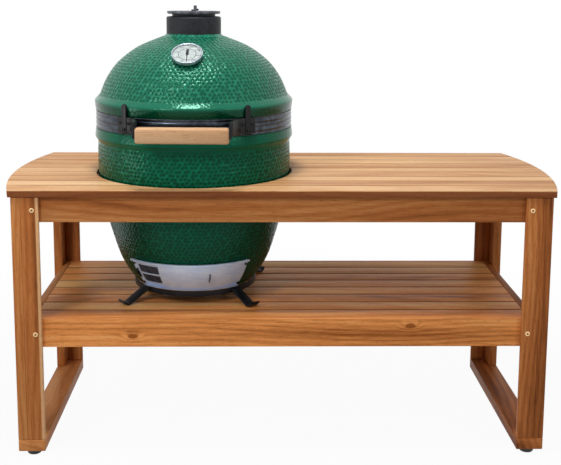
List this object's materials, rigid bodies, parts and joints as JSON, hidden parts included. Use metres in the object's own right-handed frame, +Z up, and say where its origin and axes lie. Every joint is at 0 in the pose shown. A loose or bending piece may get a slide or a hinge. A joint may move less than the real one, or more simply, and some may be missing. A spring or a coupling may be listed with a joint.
{
  "type": "kamado grill table",
  "caption": "Slatted hardwood patio table with a glazed ceramic kamado grill let down through a round hole in its top and standing on its lower shelf.",
  "frame": {"origin": "on the floor, under the middle of the table top", "axes": "+X to the right along the table, +Y from the front to the back, +Z up"},
  "size_m": [1.4998, 0.6918, 1.1882],
  "materials": {
    "hardwood": "oiled hardwood boards with a fine straight grain",
    "pale_wood": "smooth clear-coated pale wood",
    "glaze": "glossy green glaze over a dimpled surface",
    "fireclay": "unglazed fireclay",
    "felt": "dark heat-proof felt",
    "band_steel": "dark brushed steel",
    "bright_steel": "bright stainless steel",
    "black_steel": "black satin powder coat",
    "spring_steel": "plated spring wire",
    "cast_iron": "matt seasoned cast iron",
    "dial_white": "satin white dial",
    "needle_black": "satin black",
    "glass": "clear",
    "glide_black": "black moulded plastic"
  },
  "bodies": {
    "root": {"top_board_front": "hardwood", "top_board_rear": "hardwood", "top_panel_left": "hardwood", "top_panel_right": "hardwood", "runner_left": "hardwood", "runner_right": "hardwood", "post_front_left": "hardwood", "post_front_right": "hardwood", "post_rear_left": "hardwood", "post_rear_right": "hardwood", "glide_front_left": "glide_black", "glide_front_right": "glide_black", "glide_rear_left": "glide_black", "glide_rear_right": "glide_black", "top_rail_left": "hardwood", "top_rail_right": "hardwood", "shelf_rail_left": "hardwood", "shelf_rail_right": "hardwood", "top_apron_front": "hardwood", "top_apron_rear": "hardwood", "shelf_apron_front": "hardwood", "shelf_apron_rear": "hardwood", "shelf_slat_1": "hardwood", "shelf_slat_2": "hardwood", "shelf_slat_3": "hardwood", "shelf_slat_4": "hardwood", "shelf_slat_5": "hardwood", "shelf_slat_6": "hardwood", "shelf_slat_7": "hardwood", "shelf_slat_8": "hardwood", "shelf_bearer": "hardwood", "nest_stand": "black_steel", "base_shell": "glaze", "rim_gasket": "felt", "lower_band": "band_steel", "hinge_base_bracket": "black_steel", "hinge_pin": "bright_steel", "hinge_spring_left": "spring_steel", "hinge_spring_right": "spring_steel", "draft_housing": "bright_steel", "fire_box": "fireclay", "fire_ring": "fireclay", "fire_grate": "cast_iron", "cooking_grid": "bright_steel"},
    "lid": {"dome_shell": "glaze", "upper_band": "band_steel", "handle_bar": "pale_wood", "handle_bracket_left": "black_steel", "handle_bracket_right": "black_steel", "hinge_lid_bracket": "black_steel", "thermometer_case": "bright_steel", "thermometer_dial": "dial_white", "thermometer_glass": "glass", "chimney_cap": "cast_iron", "damper_pivot_bolt": "black_steel"},
    "damper": {"damper_disc": "cast_iron"},
    "daisy": {"daisy_wheel": "cast_iron"},
    "needle": {"thermometer_needle": "needle_black"},
    "draft": {"draft_panel": "bright_steel"}
  },
  "joints": [
    {"name": "lid_hinge", "type": "hinge", "parent": "root", "child": "lid", "pos_m": [-0.23409, 0.32667, 0.8793], "axis": [-0.9994, 0.0349, 0], "range_deg": [0, 65]},
    {"name": "damper_swing", "type": "hinge", "parent": "lid", "child": "damper", "pos_m": [-0.24274, 0.07895, 1.166], "axis": [0, 0, 1], "range_deg": [0, 80]},
    {"name": "daisy_turn", "type": "hinge", "parent": "damper", "child": "daisy", "pos_m": [-0.2455, 0, 1.1717], "axis": [0, 0, 1], "range_deg": [-36, 36]},
    {"name": "needle_turn", "type": "hinge", "parent": "lid", "child": "needle", "pos_m": [-0.25185, -0.18187, 1.05793], "axis": [-0.0199, -0.5712, 0.8206], "range_deg": [-320, 10]},
    {"name": "draft_slide", "type": "hinge", "parent": "root", "child": "draft", "pos_m": [-0.2455, 0, 0.463], "axis": [0, 0, 1], "range_deg": [-20, 4]}
  ]
}
